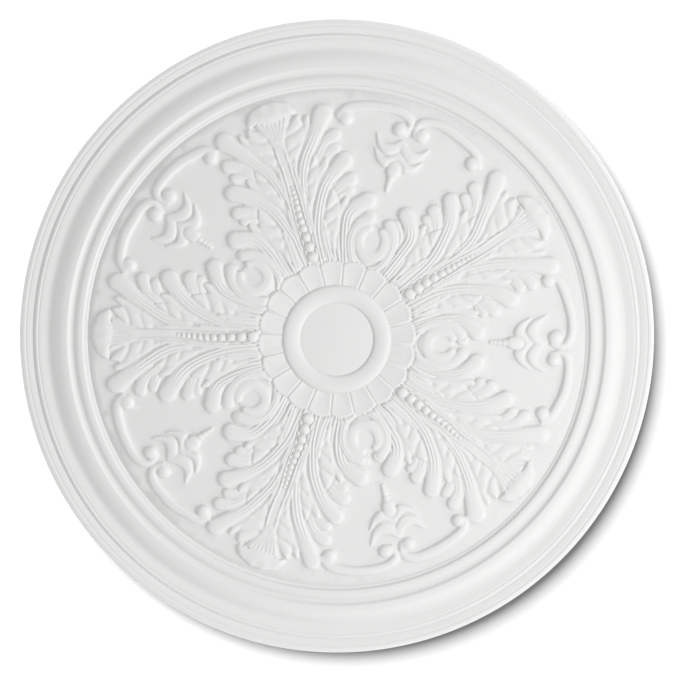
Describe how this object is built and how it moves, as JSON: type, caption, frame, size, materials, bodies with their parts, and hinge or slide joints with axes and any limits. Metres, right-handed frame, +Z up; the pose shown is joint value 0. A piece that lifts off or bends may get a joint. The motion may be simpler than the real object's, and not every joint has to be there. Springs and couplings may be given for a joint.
{
  "type": "ceiling rose",
  "caption": "Round domed ceiling medallion with acanthus leaves, C scrolls, husks, a scalloped centre and ring mouldings, glued flat to a ceiling.",
  "frame": {"origin": "centre of the flat back, where it meets the ceiling", "axes": "+Z up into the ceiling, so the carved face looks down along -Z; one of the five leaves points nearly along -X"},
  "size_m": [0.7, 0.7, 0.0704],
  "materials": {
    "white_casting": "matt white primer on a moulded hard foam casting"
  },
  "bodies": {
    "root": {"ceiling_rose": "white_casting"}
  },
  "joints": []
}
